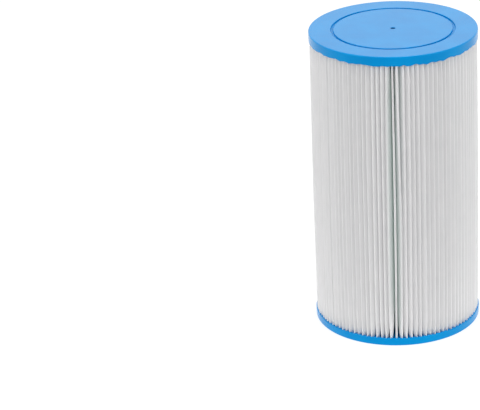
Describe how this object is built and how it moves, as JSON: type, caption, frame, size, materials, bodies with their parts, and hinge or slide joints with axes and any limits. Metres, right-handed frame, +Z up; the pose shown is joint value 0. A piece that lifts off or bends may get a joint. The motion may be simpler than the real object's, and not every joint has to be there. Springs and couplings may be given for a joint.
{
  "type": "filter cartridge",
  "caption": "Pleated pool and spa filter cartridge: a folded sheet around a perforated core tube, potted into cast end caps, one open and one closed.",
  "frame": {"origin": "centre of the open cap's outer face, which the cartridge stands on", "axes": "+Z up the cartridge's axis to the closed cap; -Y faces the seam pleat, the side the picture shows"},
  "size_m": [0.125, 0.125, 0.23],
  "materials": {
    "cap_blue": "cast polyurethane, satin",
    "core_cream": "moulded plastic, matte",
    "sheet_white": "spunbonded polyester sheet",
    "seam_glue": "hot-melt adhesive"
  },
  "bodies": {
    "root": {"open_cap": "cap_blue", "closed_cap": "cap_blue", "core_tube": "core_cream", "pleated_sheet": "sheet_white", "seam_strip": "seam_glue"}
  },
  "joints": []
}
